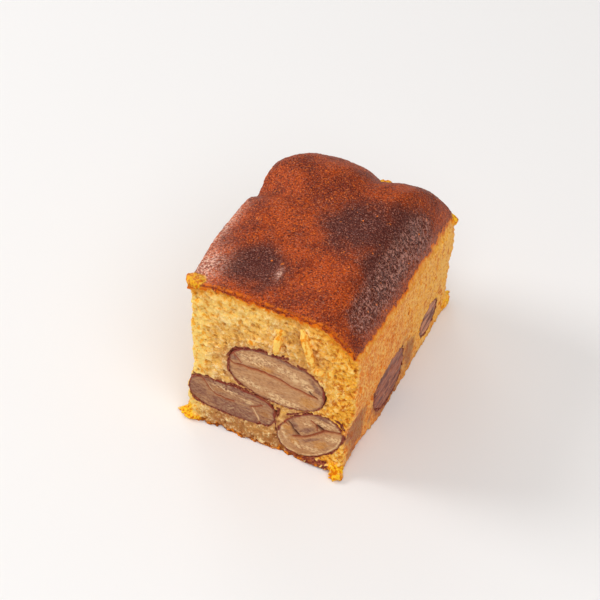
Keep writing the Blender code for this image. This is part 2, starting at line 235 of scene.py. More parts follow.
# Crumbs as (x, depth, z), half sizes and kind. They join the cake softly, within a margin
CRUMBS = (
    ((-22.9, 1.2, 55.2), (2.6, 2.4, 1.5), "lip"),
    ((-24.3, 0.5, 1.2), (3.0, 1.9, 1.2), "brown"),
    ((-24.4, 0.6, 3.4), (1.0, 0.9, 2.2), "brown"),
    ((22.4, -0.6, 1.8), (2.2, 2.0, 1.9), "brown"),
    ((22.8, -2.4, 1.1), (1.8, 1.7, 1.15), "brown"),
    ((24.0, 75.4, 2.4), (1.8, 3.2, 2.2), "brown"),
    ((15.0, 0.2, 1.0), (7.0, 1.6, 1.1), "peel"),
    ((3.6, 72.0, 43.8), (2.0, 1.8, 1.4), "brown"),
    ((24.2, 74.4, 36.4), (1.6, 1.6, 1.9), "brown"),
    ((15.2, 0.1, 37.7), (1.2, 1.0, 1.1), "pale"),
    ((-5.2, 0.1, 40.4), (1.0, 0.9, 1.0), "pale"),
    ((18.3, 0.2, 38.5), (0.9, 0.8, 1.3), "pale"),
    ((3.3, 0.2, 48.1), (1.2, 0.9, 1.0), "pale"),
)
CRUMB_MARGIN = 2.5
CRUMB_BLEND = 0.8
LIP_RUST = 0.75
# Strands that hang on the front face, as (x, depth, z) points and half width
STRAND_REACH = 10.0
STRAND_BLEND = 0.15
STRANDS = (
    (((9.9, 0.0, 51.6), (10.9, -0.9, 49.8), (12.2, -1.4, 47.0), (13.2, -1.5, 43.6),
      (13.6, -0.9, 40.2)), 1.25),
    (((3.3, 0.0, 47.4), (3.2, -0.9, 45.4), (2.9, -1.2, 43.0), (2.4, -0.6, 39.8)), 1.15),
)
# Holes in the crust as (x, depth), radius
PITS = (
    (-0.2, 44.1, 0.75), (-2.1, 40.3, 0.35), (24.1, 33.7, 0.6), (-18.3, 7.4, 0.35),
    (-22.1, 28.8, 0.3), (7.5, 25.5, 0.3), (-9.0, 50.0, 0.3), (12.5, 14.0, 0.25),
)
# Where chestnuts show through the right side, as (depth, z), half length and half height
STAINS = ((7.0, 11.5, 7.5, 9.5), (45.0, 8.5, 5.0, 7.5), (31.0, 9.0, 14.0, 13.0))

# The camera, fitted to the slice's corners in the picture, in mm and degrees
LENS = 120.0
SENSOR = 36.0
CAMERA_AZIMUTH = 23.19
CAMERA_ELEVATION = 45.22
CAMERA_ROLL = 2.58
CAMERA_TARGET = (-6.15, -3.35, 25.0)
CAMERA_DISTANCE = 580.18
# Soft lights as azimuth, elevation, size and power, all as far from one place, in metres
LIGHTS = {
    "key": (-80.0, 34.0, 0.55, 7.4),
    "fill": (35.0, 55.0, 1.2, 9.6),
    "rim": (-140.0, 26.0, 0.7, 2.0),
}
LIGHT_DISTANCE = 1.3
LIGHT_TARGET = (0.0, 0.0, 0.025)
ROOM_LIGHT = (1.0, 0.985, 0.975, 1.0)
ROOM_LIGHT_STRENGTH = 0.42
FLOOR_SIZE = 6.0
FLOOR_COLOUR = (0.86, 0.845, 0.835, 1.0)
FLOOR_ROUGHNESS = 0.7


def ramp(value, start, end):
    """0 before start, 1 after end."""
    return np.clip((value - start) / (end - start), 0.0, 1.0)


def smooth(value, start, end):
    """0 before start, 1 after end, with eased ends."""
    t = ramp(value, start, end)
    return t * t * (3.0 - 2.0 * t)


def bell(distance, width):
    """1 at no distance, falling softly to 0."""
    return np.exp(-(distance / width) ** 2)


def larger(a, b, blend):
    """The larger of two distances, rounded where they meet."""
    h = np.maximum(blend - np.abs(a - b), 0.0) / blend
    return np.maximum(a, b) + h * h * blend / 4


def smaller(a, b, blend):
    return -larger(-a, -b, blend)


def filled(like, value=0.0):
    """One value for each point."""
    return np.full(len(like), value, np.float32)


def at(place, kind=np.float32):
    """An (x, depth, z) place as a point of the frame."""
    x, depth, z = place
    return np.array((x, FRONT + depth, z), kind)


def within(points, place, reach):
    """Which points are in a box around a place."""
    return np.abs(points - at(place, float)).max(1) < reach


def noise(points, size, seed, stretch=None):
    """Smooth noise from -1 to 1 with lumps of a size in mm, turned unless stretched."""
    rng = np.random.default_rng(seed)
    values = rng.uniform(-1.0, 1.0, LATTICE ** 3).astype(np.float32)
    if stretch is None:
        turn = np.linalg.qr(rng.normal(size=(3, 3)))[0]
        place = points @ (turn / size).astype(np.float32)
    else:
        place = points / np.array(stretch, np.float32) / np.float32(size)
    place = place + rng.uniform(0.0, LATTICE, 3).astype(np.float32)
    floor = np.floor(place)
    t = place - floor
    t = t * t * (3.0 - 2.0 * t)
    near = floor.astype(np.int32) & (LATTICE - 1)
    far = (near + 1) & (LATTICE - 1)
    total = 0.0
    for ix, wx in ((near[:, 0], 1.0 - t[:, 0]), (far[:, 0], t[:, 0])):
        for iy, wy in ((near[:, 1], 1.0 - t[:, 1]), (far[:, 1], t[:, 1])):
            row = (ix * LATTICE + iy) * LATTICE
            share = wx * wy
            total = total + share * (values[row + near[:, 2]] * (1.0 - t[:, 2])
                                     + values[row + far[:, 2]] * t[:, 2])
    return total


def grains(points, size, seed, stretch=None):
    """Rounded grains with creases between them."""
    return 2.2 * np.abs(noise(points, size, seed, stretch)) - 0.6


def between(pair, share):
    """From the first value at 0 to the second at 1."""
    return pair[0] + (pair[1] - pair[0]) * share


def notch_fall(across, inwards, notch):
    """How far a notch sinks the crust, given its fall, width and reach inwards."""
    fall, width, reach = notch
    return fall * bell(across, width) * bell(inwards, reach)


def crust_height(x, depth):
    """Height of the crust above the table."""
    along = depth / LENGTH
    right = between(RIGHT_FALL, along) * ramp(x, RIGHT_SHOULDER_START, WIDTH / 2) ** 2
    back = BACK_FALL * ramp(depth, BACK_SHOULDER_START, LENGTH) ** 2
    left = between(LEFT_FALL, along) * ramp(x, LEFT_SHOULDER_START, -WIDTH / 2) ** 2
    fall = (right ** SHOULDER_BLEND + back ** SHOULDER_BLEND) ** (1 / SHOULDER_BLEND) + left
    fall = fall + (BACK_LEFT_FALL * ramp(x, BACK_LEFT_X, -WIDTH / 2) ** 2
                   * ramp(depth, BACK_LEFT_DEPTH, LENGTH) ** 2)
    for lobe_x, lobe_depth, radius, rise in LOBES:
        distance = np.hypot(x - lobe_x, depth - lobe_depth)
        fall = fall - rise * (1.0 - smooth(distance, LOBE_CROWN * radius, LOBE_FOOT * radius))
    for hollow_x, hollow_depth, radius, drop in HOLLOWS:
        fall = fall + drop * bell(np.hypot(x - hollow_x, depth - hollow_depth), radius)
    fall = fall + notch_fall(depth - LEFT_NOTCH_DEPTH, x + WIDTH / 2, LEFT_NOTCH)
    fall = fall + notch_fall(x - BACK_NOTCH_X, depth - LENGTH, BACK_NOTCH)
    return HEIGHT - fall


def left_side(z, depth):
    near = 1.0 - smooth(depth, *LEFT_NEAR_DEPTHS)
    inset = LEFT_INSET * smooth(z, *LEFT_INSET_HEIGHTS) * near
    inset = inset - LEFT_FLARE * smooth(z, *LEFT_FLARE_HEIGHTS) * near
    lean = LEFT_LEAN * (z / HEIGHT) * (1.0 - near)
    belly = sum(bulge * bell(depth - middle, length) for bulge, middle, length in LEFT_BELLIES)
    return -WIDTH / 2 + inset + lean - belly * smooth(z, *LEFT_BELLY_HEIGHTS)


def right_side(z, depth):
    near = 1.0 - smooth(depth, *RIGHT_NEAR_DEPTHS)
    foot = near * (RIGHT_FOOT_INSET + RIGHT_UNDERCUT * (1.0 - smooth(z, 0.0, RIGHT_UNDERCUT_HEIGHT)))
    bulge = RIGHT_BULGE * smooth(z, *RIGHT_BULGE_HEIGHTS)
    return WIDTH / 2 - foot + bulge * (1.0 - RIGHT_BULGE_LOSS * depth / LENGTH)


def slice_distances(points):
    """How far points stand outside each side of the slice; negative inside."""
    x, y, z = points.T
    depth = y - FRONT
    left, right = left_side(z, depth), right_side(z, depth)
    flat_x = WIDTH * ((x - left) / (right - left) - 0.5)
    height = crust_height(flat_x, depth)
    step = 0.5
    slope_x = (crust_height(flat_x + step, depth) - height) / step
    slope_y = (crust_height(flat_x, depth + step) - height) / step
    roof = (z - height) / np.sqrt(1.0 + slope_x ** 2 + slope_y ** 2)
    return {"roof": roof, "flat_x": flat_x, "depth": depth, "z": z,
            "front": -depth, "back": depth - LENGTH,
            "left": -WIDTH / 2 - flat_x, "right": flat_x - WIDTH / 2}


def plan_distance(d):
    """Distance outside the slice's outline from above."""
    back_radius = np.where(d["flat_x"] < 0.0, BACK_LEFT_RADIUS, BACK_RIGHT_RADIUS)
    radius = np.where(d["depth"] < LENGTH / 2, FRONT_CORNER_RADIUS, back_radius)
    over_x = np.maximum(d["left"], d["right"]) + radius
    over_y = np.maximum(d["front"], d["back"]) + radius
    outside = np.hypot(np.maximum(over_x, 0.0), np.maximum(over_y, 0.0))
    return np.minimum(np.maximum(over_x, over_y), 0.0) + outside - radius


def edge_round(d):
    """How far the crust's edge is rounded."""
    back = smooth(d["depth"], *BACK_ROUND_DEPTHS)
    left = smooth(-d["flat_x"], *BACK_LEFT_ROUND_WIDTHS)
    return EDGE_ROUND + back * (BACK_ROUND + BACK_LEFT_ROUND * left)


def slice_shares(d, plan):
    """How much a point belongs to the crust, a knife cut and a baked side."""
    crust = smooth(d["roof"] - plan, -0.6, 0.4)
    cut = smooth(np.maximum(d["front"], d["left"]) - np.maximum(d["right"], d["back"]), -0.8, 0.8)
    return crust, (1.0 - crust) * cut, (1.0 - crust) * (1.0 - cut)


def crust_relief(points, d):
    """Granular top, wrinkled along the right shoulder."""
    relief = 0.16 * noise(points, 6.0, 11)
    relief += 0.1 * noise(points, 2.2, 12)
    relief += 0.09 * grains(points, 0.9, 13)
    relief += 0.07 * noise(points, 0.5, 14)
    wrinkles = 0.24 * grains(points, 1.6, 15) + 0.2 * noise(points, 0.9, 16)
    relief += shoulder_band(d) * wrinkles
    brink = smooth(-d["depth"], -1.6, -0.2) * smooth(d["front"] - d["left"], -0.5, 0.5)
    relief += 0.42 * brink * grains(points, 1.5, 17)
    relief += 0.35 * dimple_crease(d)
    return relief


def cut_relief(points, d):
    """Torn, porous crumb under a crust that stands proud."""
    below = -d["roof"]
    inner = smooth(below, 0.3, 2.0)
    bent = points + 0.5 * noise(points, 1.9, 26)[:, None] * BEND
    relief = inner * (0.35 * noise(points, 7.0, 21) + 0.26 * noise(bent, 2.4, 22))
    lumps = 0.42 * noise(bent, 1.3, 23) + 0.2 * grains(bent, 0.9, 30) + 0.26 * noise(points, 0.65, 24)
    relief += (0.4 + 0.6 * inner) * lumps
    relief -= inner * 0.65 * smooth(noise(bent, 1.1, 25), 0.42, 0.8)
    relief -= peel_share(points)[1]
    torn = smooth(d["front"] - d["left"], -0.5, 0.5)
    relief += torn * 0.35 * bell(below - 0.5, 0.9) * (0.7 + 1.6 * noise(points, 1.6, 27))
    relief -= 0.35 * bell(below - 2.4, 1.0)
    relief += bell(d["z"], 1.4) * (0.25 + 0.45 * noise(points, 1.8, 28))
    return relief


def peel_share(points):
    """1 on the torn skin beside the front chestnuts, and how deep its cracks are."""
    x, z = points[:, 0], points[:, 2]
    wobble = 1.3 * noise(points, 1.1, 29)
    share, sunk = filled(points), filled(points)
    for path, width, depth in PEELS:
        mine = bell(path_distance(x, z, path) + wobble * width, width)
        share = np.maximum(share, mine)
        sunk = np.maximum(sunk, mine * depth)
    at_front = points[:, 1] < FRONT + 3.0
    return share * at_front, sunk * at_front


def baked_relief(points, d):
    """Skin with fine upright pores and creases."""
    inner = smooth(-d["roof"], 0.3, 2.5)
    relief = 0.25 * inner * noise(points, 8.0, 31)
    relief += 0.16 * grains(points, 1.0, 32, stretch=(1.0, 1.0, 1.3))
    relief += 0.18 * noise(points, 0.7, 33)
    relief -= inner * 0.5 * smooth(noise(points, 1.1, 34, stretch=(1.0, 1.0, 1.4)), 0.48, 0.8)
    creases = smooth(noise(points, 2.8, 35, stretch=(1.0, 1.0, 9.0)), 0.48, 0.85)
    relief -= inner * 0.45 * creases * smooth(d["z"], 3.0, 10.0)
    relief += 0.45 * smooth(d["depth"], 70.0, 75.0) * noise(points, 2.4, 36)
    return relief


def shoulder_band(d):
    """The rough strip along the right shoulder."""
    middle = BAND_X + BAND_SHIFT * smooth(d["depth"], *BAND_SHIFT_DEPTHS)
    band = bell(d["flat_x"] - middle, BAND_WIDTH) * (1.0 - smooth(d["depth"], *BAND_END_DEPTHS))
    return band * smooth(d["depth"], *BAND_START_DEPTHS)


def dimple_crease(d):
    """A small step at the right edge of the front hollow."""
    across = d["flat_x"] - STEP_X + STEP_LEAN * (d["depth"] - STEP_MIDDLE)
    step = np.where(across > 0.0, bell(across, STEP_SLOPE), bell(across, STEP_EDGE))
    return step * bell(d["depth"] - STEP_DEPTH, STEP_LENGTH)


def crumb_distance(points, place, half_sizes):
    """Distance outside a crumb."""
    offset = (points - at(place)) / np.array(half_sizes, np.float32)
    return (np.linalg.norm(offset, axis=1) - 1.0) * min(half_sizes)


def strand_distance(points, strand):
    """Distance outside a strand, thinner towards its ends."""
    places, half_width = strand
    path = np.array([at(place) for place in places])
    nearest = filled(points, FAR)
    last = len(path) - 1
    for i in range(last):
        start, run = path[i], path[i + 1] - path[i]
        share = np.clip(((points - start) @ run) / (run @ run), 0.0, 1.0)
        away = np.linalg.norm(points - start - share[:, None] * run, axis=1)
        radius = half_width * np.sqrt(np.sin(math.pi * (0.06 + 0.88 * (i + share) / last)))
        nearest = np.minimum(nearest, away - radius)
    return nearest


def nut_axes(turn, section):
    """The chestnut's directions along, into the cake and across."""
    c, s = math.cos(math.radians(turn)), math.sin(math.radians(turn))
    if section == "front":
        return np.array(((c, 0, s), (0, 1, 0), (-s, 0, c)), np.float32)
    return np.array(((0, c, s), (-1, 0, 0), (0, -s, c)), np.float32)


def nut_distance(points, nut):
    """Distance outside a whole chestnut, and places on it from -1 to 1."""
    place, half_sizes, turn, squareness, section, _ = nut
    sizes = np.array(half_sizes, np.float32)
    local = (points - at(place)) @ nut_axes(turn, section).T / sizes
    a, b, c = np.maximum(np.abs(local), 1e-4).T
    ring = (a ** squareness + c ** squareness) ** (1 / squareness)
    reach = np.hypot(ring, b)
    grow = (a / ring) ** (2 * squareness - 2) / sizes[0] ** 2
    grow = grow + (c / ring) ** (2 * squareness - 2) / sizes[2] ** 2
    gradient = np.sqrt((ring / reach) ** 2 * grow + (b / reach / sizes[1]) ** 2)
    return (reach - 1.0) / gradient, local


def cake_field(points, fine=True):
    """Distance outside the cake, or its plain form without fine."""
    d = slice_distances(points)
    plan = plan_distance(d)
    base = larger(d["roof"], plan, edge_round(d))
    if fine:
        near = np.abs(base) < CAKE_REACH
        chosen = {key: value[near] for key, value in d.items()}
        crust, cut, baked = slice_shares(chosen, plan[near])
        relief = np.zeros(near.sum(), np.float32)
        for share, make in ((crust, crust_relief), (cut, cut_relief), (baked, baked_relief)):
            mine = share > 0.01
            part = {key: value[mine] for key, value in chosen.items()}
            relief[mine] += share[mine] * make(points[near][mine], part)
        for pit_x, pit_depth, radius in PITS:
            away = np.hypot(chosen["flat_x"] - pit_x, chosen["depth"] - pit_depth)
            relief -= crust * 1.3 * radius * bell(away, radius)
        base[near] -= relief
    base = add_crumbs(base, points, fine)
    base = cut_rooms(base, points)
    return np.maximum(base, -points[:, 2])


def add_crumbs(base, points, fine):
    """Joins the crumbs and the strands to the cake."""
    for place, half_sizes, _ in CRUMBS:
        near = within(points, place, max(half_sizes) + CRUMB_MARGIN)
        if near.any():
            chosen = points[near]
            ragged = crumb_distance(chosen, place, half_sizes)
            if fine:
                rough = 0.3 * noise(chosen, 1.5, 41) + 0.22 * noise(chosen, 0.7, 42)
                ragged -= min(half_sizes) * rough
            base[near] = smaller(base[near], ragged, CRUMB_BLEND)
    for strand in STRANDS:
        near = within(points, np.mean(strand[0], axis=0), STRAND_REACH)
        if near.any():
            chosen = points[near]
            ragged = strand_distance(chosen, strand)
            if fine:
                ragged -= 0.18 * noise(chosen, 2.0, 43) + 0.1 * noise(chosen, 0.8, 44)
            base[near] = smaller(base[near], ragged, STRAND_BLEND)
    return base


def cut_rooms(base, points):
    """Takes out the room of each chestnut."""
    room_size = filled(points, ROOM)
    for place, reach, width in GAPS:
        away = np.linalg.norm(points - at(place), axis=1)
        room_size += width * bell(away, reach)
    for nut in CHESTNUTS.values():
        near = within(points, nut[0], max(nut[1]) + ROOM_MARGIN)
        if near.any():
            distance = nut_distance(points[near], nut)[0]
            loose = RAGGED_AT_CUT if nut[4] == "front" else RAGGED_AT_SIDE
            ragged = loose * np.maximum(noise(points[near], 1.6, 45) + 0.1, 0.0)
            base[near] = np.maximum(base[near], room_size[near] - ragged - distance)
    return base


def path_distance(x, z, path):
    """Distance from a line through (x, z) points."""
    nearest = filled(x, FAR)
    for (x0, z0), (x1, z1) in zip(path[:-1], path[1:]):
        run_x, run_z = x1 - x0, z1 - z0
        share = ((x - x0) * run_x + (z - z0) * run_z) / (run_x ** 2 + run_z ** 2)
        share = np.clip(share, 0.0, 1.0)
        nearest = np.minimum(nearest, np.hypot(x - x0 - share * run_x, z - z0 - share * run_z))
    return nearest


def nut_parts(points, name):
    """Distances outside a chestnut, its cut faces and its baked side, and places on it."""
    body, local = nut_distance(points, CHESTNUTS[name])
    d = slice_distances(points)
    flesh, baked = filled(points, -FAR), filled(points, -FAR)
    for side in CHESTNUTS[name][5]:
        if side in ("front", "left"):
            flesh = np.maximum(flesh, d[side])
        else:
            baked = np.maximum(baked, d[side])
    return body, flesh, baked, local


def face_places(points, name):
    """Places along and up the face that a chestnut's section lies in."""
    if CHESTNUTS[name][4] == "front":
        return points[:, 0], points[:, 2]
    return points[:, 1] - FRONT, points[:, 2]


def folds(points, name):
    """How far away each fold of a chestnut is, its depth, width and tone."""
    x, z = face_places(points, name)
    wobble = 0.25 * noise(points, 1.4, 51)
    for path, depth, width, tone in FOLDS.get(name, ()):
        yield path_distance(x + wobble, z + wobble, path), depth, width, tone


def nut_field(name):
    """The field of one chestnut, cut off at the cake's sides."""
    def field(points, fine=True):
        body, flesh, baked, local = nut_parts(points, name)
        if not fine:
            return np.maximum(np.maximum(body, flesh), baked)
        for away, depth, width, _ in folds(points, name):
            flesh = flesh + depth * bell(away, width)
        flesh = flesh - 0.1 * noise(points, 4.0, 52) - 0.07 * noise(points, 0.9, 53)
        skin = 0.1 * noise(points, 2.5, 54) + 0.12 * noise(local, 0.2, 55, (3.0, 1.0, 0.4))
        whole = larger(body - skin, flesh, 0.15)
        return larger(whole, baked + 0.05 - skin, 1.0)
    return field


def box_of_cells(counts):
    """The places of all cells of a box."""
    return np.stack(np.meshgrid(*map(np.arange, counts), indexing="ij"), -1).reshape(-1, 3)


def mesh_field(field, low, high, cell, reach):
    """Vertices in mm and quads where a field crosses zero."""
    step = cell * BLOCK
    low = np.array(low)
    counts = np.ceil((np.array(high) - low) / step).astype(int)
    blocks = box_of_cells(counts)
    middles = low + blocks * step + ((BLOCK - 1) / 2) * cell
    rough = field(middles.astype(np.float32), fine=False)
    near = np.abs(rough) < reach + step * math.sqrt(3) / 2
    far_value = reach + step
    values = np.where(rough > 0.0, far_value, -far_value).astype(np.float32).reshape(counts)
    values = values[:, None, :, None, :, None]
    values = np.broadcast_to(values, (counts[0], BLOCK, counts[1], BLOCK, counts[2], BLOCK)).copy()
    inner = box_of_cells([BLOCK] * 3) * cell
    blocks = blocks[near]
    for start in range(0, len(blocks), BATCH):
        batch = blocks[start:start + BATCH]
        points = (low + batch[:, None] * step + inner[None]).reshape(-1, 3).astype(np.float32)
        found = np.clip(field(points), -far_value, far_value)
        i, j, k = batch.T
        values[i, :, j, :, k, :] = found.reshape(-1, BLOCK, BLOCK, BLOCK)
    grid = openvdb.FloatGrid(far_value)
    grid.copyFromArray(values.reshape(counts * BLOCK))
    vertices, quads = grid.convertToQuads(0.0)
    return vertices * cell + low, quads[:, ::-1].astype(np.int32)


def without_islands(vertices, faces):
    """Keeps only the largest connected surface."""
    label = np.arange(len(vertices))
    while True:
        lowest = label[faces].min(1)
        new = label.copy()
        np.minimum.at(new, faces.ravel(), np.repeat(lowest, faces.shape[1]))
        new = new[new]
        if np.array_equal(new, label):
            break
        label = new
    kept = label == np.bincount(label).argmax()
    index = np.cumsum(kept) - 1
    return vertices[kept], index[faces[kept[faces[:, 0]]]].astype(np.int32)


def vertex_normals(vertices, quads):
    """Smooth normals, so that neighbouring pieces are shaded as one."""
    diagonal_a = vertices[quads[:, 2]] - vertices[quads[:, 0]]
    diagonal_b = vertices[quads[:, 3]] - vertices[quads[:, 1]]
    normal = np.cross(diagonal_a, diagonal_b)
    total = np.zeros_like(vertices)
    for corner in range(4):
        np.add.at(total, quads[:, corner], normal)
    return total / np.maximum(np.linalg.norm(total, axis=1, keepdims=True), 1e-9)


def make_mesh(name, vertices, quads, masks):
    """A mesh in metres, with a float attribute for each mask."""
    mesh = bpy.data.meshes.new(name)
    mesh.vertices.add(len(vertices))
    mesh.vertices.foreach_set("co", (vertices * MM).astype(np.float32).ravel())
    mesh.loops.add(quads.size)
    mesh.loops.foreach_set("vertex_index", quads.ravel().astype(np.int32))
    mesh.polygons.add(len(quads))
    mesh.polygons.foreach_set("loop_start", np.arange(0, quads.size, 4, dtype=np.int32))
    mesh.update(calc_edges=True)
    for key, values in masks.items():
        attribute = mesh.attributes.new(key, "FLOAT", "POINT")
        attribute.data.foreach_set("value", values.astype(np.float32))
    mesh.validate()
    piece = bpy.data.objects.new(name, mesh)
    bpy.context.scene.collection.objects.link(piece)
    return piece


def torn_share(points, kind, strands=()):
    """1 on the crumbs of a kind and on the strands, 0 away from them."""
    away = [crumb_distance(points, place, half_sizes)
            for place, half_sizes, its_kind in CRUMBS if its_kind == kind]
    away += [strand_distance(points, strand) for strand in strands]
    return 1.0 - smooth(np.min(away, axis=0), 0.1, 0.5)


def beside_chestnut(points):
    """Distance from the nearest chestnut, no more than is needed."""
    away = [nut_distance(points, nut)[0] for nut in CHESTNUTS.values()]
    return np.minimum(np.min(away, axis=0), BESIDE_REACH)


def patches_share(u, v, patches, ease):
    """The largest share of any patch, given as middle and half sizes."""
    share = filled(u)
    for middle_u, middle_v, half_u, half_v in patches:
        away = np.hypot((u - middle_u) / half_u, (v - middle_v) / half_v)
        share = np.maximum(share, ease(away))
    return share


def burnt_share(points, d):
    """Over-browned patches with ragged edges."""
    ragged = 0.22 * noise(points, 5.0, 61) + 0.1 * noise(points, 1.8, 62)
    burnt = patches_share(d["flat_x"], d["depth"], BURNS,
                          lambda away: 1.0 - smooth(away + ragged, 0.45, 1.15))
    return burnt * (1.0 - smooth(d["flat_x"] + 6.0 * ragged, 20.0, 24.0))


def stain_share(points, d):
    """Where chestnuts show through the right side."""
    ragged = 0.3 * noise(points, 2.6, 69)
    stain = patches_share(d["depth"], d["z"], STAINS,
                          lambda away: 1.0 - smooth(away + ragged, 0.5, 1.1))
    return stain * smooth(d["right"], -1.0, -0.2)


def crumb_zones(points, d):
    """Warmer crumb on the right, painted light on the left and towards the upper left, browner at the
    foot.
    """
    warm = smooth(d["flat_x"] + 3.0 * noise(points, 6.0, 63), 6.0, 20.0)
    # Painted light: lighter crumb where the light falls on the left edge and the upper left
    pale = smooth(-d["flat_x"] + 1.5 * noise(points, 4.0, 64), 17.5, 23.0)
    pale = np.maximum(pale, 0.6 * smooth(d["z"] - 0.6 * d["flat_x"], 40.0, 60.0))
    pale = pale * (1.0 - 0.8 * smooth(d["depth"], 1.0, 7.0))
    low = 1.0 - smooth(d["z"] + 2.0 * noise(points, 3.0, 72), 4.0, 10.0)
    return warm, pale, low


def below_crust(points, d, plan):
    """How far a point lies below the crust, whose colour ends higher on the right side."""
    right = d["right"] + 0.35 * noise(points, 5.0, 66) + 0.15 * noise(points, 1.7, 67)
    tip = smooth(d["flat_x"], 21.5, 24.5) * smooth(d["front"], -3.5, -0.5)
    return -d["roof"] - 0.7 * smooth(-plan, 0.8, 2.0) + 2.5 * smooth(right, -1.3, -0.2) + tip


def baked_share(points, d):
    """1 on the sides that lay against the tin."""
    side = np.maximum(d["right"], d["back"]) - np.maximum(d["front"], d["left"])
    return smooth(side + 1.5 * noise(points, 2.6, 68) + 0.8 * noise(points, 0.9, 65), -0.4, 0.4)


def cake_masks(points):
    """What the cake's material needs at each vertex."""
    d = slice_distances(points)
    plan = plan_distance(d)
    crust, cut, _ = slice_shares(d, plan)
    warm, pale, low = crumb_zones(points, d)
    # Painted sheen where light glances off the crust's left edge and beside the front hollow
    painted_sheen = patches_share(d["flat_x"], d["depth"], PAINTED_SHEEN_PATCHES, lambda away: bell(away, 1.0))
    return {
        "below": below_crust(points, d, plan),
        # The crust's right edge: partly its own colour, partly a painted pinkish sheen
        "hem_sheen": crust * bell(d["flat_x"] - 24.1, 0.8),
        "stain": stain_share(points, d),
        "far": smooth(d["depth"] + 6.0 * noise(points, 6.0, 70), 15.0, 70.0),
        "beside": beside_chestnut(points),
        "peel": np.maximum(peel_share(points)[0], torn_share(points, "peel")),
        "warm": warm * cut,
        # Painted light on the left and upper left of the cut faces
        "pale": pale * cut,
        "low": low * cut * (1.0 - warm),
        "baked": baked_share(points, d),
        # How deep a point lies below the plain form; the materials paint shade in hollows and
        # highlights on bumps from it
        "sunk": -larger(d["roof"], plan, edge_round(d)),
        "burnt": burnt_share(points, d),
        "brink": crust * smooth(d["front"], -1.5, -0.1),
        "torn": torn_share(points, "pale", STRANDS),
        "rusty": np.maximum(torn_share(points, "brown"), LIP_RUST * torn_share(points, "lip")),
        "band": shoulder_band(d),
        "painted_sheen": painted_sheen * crust,
        "height": d["z"],
    }


def make_cake_sides(sides, cell, until):
    """One piece for each side named, from one mesh that ends at a depth."""
    low = (-WIDTH / 2 - MARGIN, FRONT - MARGIN, -BELOW_TABLE)
    high = (WIDTH / 2 + MARGIN, FRONT + until, CEILING)
    vertices, quads = mesh_field(cake_field, low, high, cell, CAKE_REACH)
    vertices, quads = without_islands(vertices, quads)
    normals = vertex_normals(vertices, quads)
    d = slice_distances(vertices[quads].mean(1))
    d["base"] = 0.3 - d["z"]
    outside = np.stack([d[side] + SEAM_OVERLAP * (side in sides) for side in CAKE_SIDES])
    skin = np.where(d["depth"] > ROUNDED_FROM, ROUNDED_SKIN_DEPTH, SKIN_DEPTH)
    owner = np.where(outside.max(0) > -skin, outside.argmax(0), -1)
    masks = cake_masks(vertices)
    for side in sides:
        mine = quads[owner == CAKE_SIDES.index(side)]
        used, index = np.unique(mine, return_inverse=True)
        piece = make_mesh("cake_" + side, vertices[used], index.reshape(-1, 4),
                          {key: values[used] for key, values in masks.items()})
        piece.data.shade_smooth()
        piece.data.normals_split_custom_set_from_vertices(normals[used])
        yield piece


def make_cake():
    """The cake's surface, finer on the sides that show."""
    yield from make_cake_sides(("front",), FRONT_CELL, 2.0 * SKIN_DEPTH)
    yield from make_cake_sides(("roof", "right"), CAKE_CELL, LENGTH + MARGIN)
    yield from make_cake_sides(("left", "back", "base"), CAKE_FAR_CELL, LENGTH + MARGIN)


def nut_masks(points, name):
    """What the chestnuts' material needs at each vertex."""
    body, flesh, baked, local = nut_parts(points, name)
    streak = 0.45 * noise(local, 0.14, 71, (2.0, 1.0, 0.4))
    masks = {tone: filled(points) for tone in ("fold", "dark", "pale", "light", "gold", "dusk")}
    masks["rim"] = -body
    masks["cut"] = smooth(flesh - np.maximum(body, baked), -0.25, 0.05)
    masks["dull"] = filled(points, DULL.get(name, 0.0))
    masks["far"] = smooth(points[:, 1] - FRONT, 42.0, 56.0)
    for away, _, width, tone in folds(points, name):
        masks[tone] = np.maximum(masks[tone], bell(away, 1.2 * width))
    x, z = face_places(points, name)
    # Light patches: partly paler flesh, partly painted highlights
    for tone, patches in TONES.get(name, {}).items():
        for patch in patches:
            mine = 1.0 - smooth(patch_distance(x, z, patch) + streak, 0.4, 1.25)
            masks[tone] = np.maximum(masks[tone], mine)
    return masks


def patch_distance(x, z, patch):
    """0 in the middle of a patch and 1 at its edge."""
    middle_x, middle_z, half_length, half_width, turn = patch
    c, s = math.cos(math.radians(turn)), math.sin(math.radians(turn))
    along = (x - middle_x) * c + (z - middle_z) * s
    across = (z - middle_z) * c - (x - middle_x) * s
    return np.hypot(along / half_length, across / half_width)


def make_nut(name):
    """A chestnut's surface, finer where it is cut open in front."""
    place, half_sizes = CHESTNUTS[name][:2]
    reach = max(half_sizes) + NUT_MARGIN
    centre = at(place, float)
    cell = NUT_CELL if name in SHOWN_CHESTNUTS else FAR_NUT_CELL
    vertices, quads = mesh_field(nut_field(name), centre - reach, centre + reach, cell, NUT_REACH)
    vertices, quads = without_islands(vertices, quads)
    piece = make_mesh(name + "_flesh", vertices, quads, nut_masks(vertices, name))
    piece.data.shade_smooth()
    return piece


def linear(colour):
    """A display colour as the renderer takes it."""
    shares = [((c / 255 + 0.055) / 1.055) ** 2.4 if c > 10 else c / 255 / 12.92 for c in colour]
    return (*shares, 1.0)


